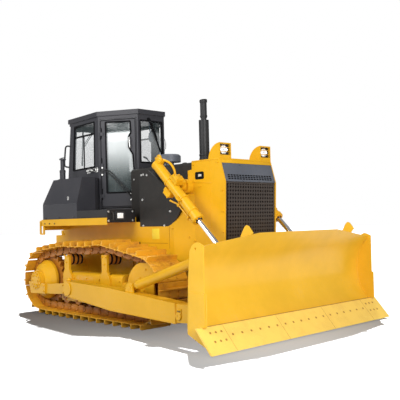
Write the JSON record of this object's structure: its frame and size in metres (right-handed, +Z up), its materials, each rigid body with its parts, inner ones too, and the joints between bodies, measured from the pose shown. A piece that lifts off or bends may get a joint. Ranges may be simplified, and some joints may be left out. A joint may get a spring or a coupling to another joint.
{
  "type": "crawler bulldozer",
  "caption": "Crawler bulldozer with a straight tilting blade on push arms, hydraulic lift cylinders, a closed hexagonal cab with hinged doors and raised grousers on its tracks.",
  "frame": {"origin": "on the ground under the middle of the machine's box", "axes": "+X forward to the blade, +Y to the machine's left, +Z up"},
  "size_m": [5.475, 3.724, 3.425],
  "materials": {
    "paint_yellow": "gloss paint",
    "paint_charcoal": "satin paint",
    "paint_slate": "satin paint",
    "mesh_black": "matt paint",
    "track_steel": "paint over cast steel",
    "wear_steel": "paint over wear steel",
    "engine_iron": "matt",
    "chrome": "polished",
    "glass": "tinted",
    "seat_cloth": "woven",
    "plastic_dark": "moulded"
  },
  "bodies": {
    "chassis": {"track_left": "track_steel", "track_right": "track_steel", "sprockets": "track_steel", "idlers": "track_steel", "track_rollers": "track_steel", "carrier_rollers": "track_steel", "final_drives": "paint_yellow", "track_frames": "paint_yellow", "outer_beams": "paint_yellow", "main_frame": "paint_yellow", "drawbar": "paint_yellow", "radiator_guard": "paint_yellow", "headlamps": "paint_yellow", "side_frames": "paint_yellow", "fenders": "paint_yellow", "hood": "paint_charcoal", "cowl_panels": "paint_charcoal", "platform": "paint_charcoal", "fuel_tank": "paint_charcoal", "filler_pipe": "paint_charcoal", "cab_floor": "paint_charcoal", "cab_rear_panel": "paint_charcoal", "cab_quarter_panels": "paint_charcoal", "cab_front_panel": "paint_charcoal", "cab_roof": "paint_charcoal", "engine_side_panels": "paint_charcoal", "exhaust_stack": "paint_charcoal", "air_precleaner": "paint_slate", "grille": "mesh_black", "engine_block": "engine_iron", "cab_windows": "glass", "seat": "seat_cloth", "console": "plastic_dark"},
    "blade_frame": {"push_arms": "paint_yellow", "blade": "paint_yellow", "end_plates": "paint_yellow", "cutting_edge": "wear_steel", "brace": "paint_yellow", "tilt_cylinder": "paint_yellow"},
    "lift_barrel_left": {"lift_barrel_left": "paint_yellow", "yoke_left": "paint_yellow"},
    "lift_barrel_right": {"lift_barrel_right": "paint_yellow", "yoke_right": "paint_yellow"},
    "lift_rod_left": {"lift_rod_left": "chrome"},
    "lift_rod_right": {"lift_rod_right": "chrome"},
    "door_left": {"door_left": "paint_charcoal", "door_glass_left": "glass"},
    "door_right": {"door_right": "paint_charcoal", "door_glass_right": "glass"}
  },
  "joints": [
    {"name": "blade_lift", "type": "hinge", "parent": "chassis", "child": "blade_frame", "pos_m": [-0.872, 0, 0.52], "axis": [0, -1, 0], "range_deg": [-9, 19]},
    {"name": "lift_swing_left", "type": "hinge", "parent": "chassis", "child": "lift_barrel_left", "pos_m": [0.941, 0.84, 2.038], "axis": [0, -1, 0], "range_deg": [-12.15, 25.65]},
    {"name": "lift_stroke_left", "type": "slide", "parent": "lift_barrel_left", "child": "lift_rod_left", "axis": [0.7267, 0, -0.687], "range_m": [-0.73, 0.3461]},
    {"name": "lift_swing_right", "type": "hinge", "parent": "chassis", "child": "lift_barrel_right", "pos_m": [0.941, -0.84, 2.038], "axis": [0, -1, 0], "range_deg": [-12.15, 25.65]},
    {"name": "lift_stroke_right", "type": "slide", "parent": "lift_barrel_right", "child": "lift_rod_right", "axis": [0.7267, 0, -0.687], "range_m": [-0.73, 0.3461]},
    {"name": "door_left_hinge", "type": "hinge", "parent": "chassis", "child": "door_left", "pos_m": [-1.17003, 0.64534, 1.8], "axis": [0, 0, 1], "range_deg": [0, 95]},
    {"name": "door_right_hinge", "type": "hinge", "parent": "chassis", "child": "door_right", "pos_m": [-1.17003, -0.64534, 1.8], "axis": [0, 0, -1], "range_deg": [0, 95]}
  ],
  "couplings": [
    {"joint": "lift_swing_left", "follows": "blade_lift", "ratio": 1.35},
    {"joint": "lift_stroke_left", "follows": "blade_lift", "m_per_rad": -2.2},
    {"joint": "lift_swing_right", "follows": "blade_lift", "ratio": 1.35},
    {"joint": "lift_stroke_right", "follows": "blade_lift", "m_per_rad": -2.2}
  ]
}
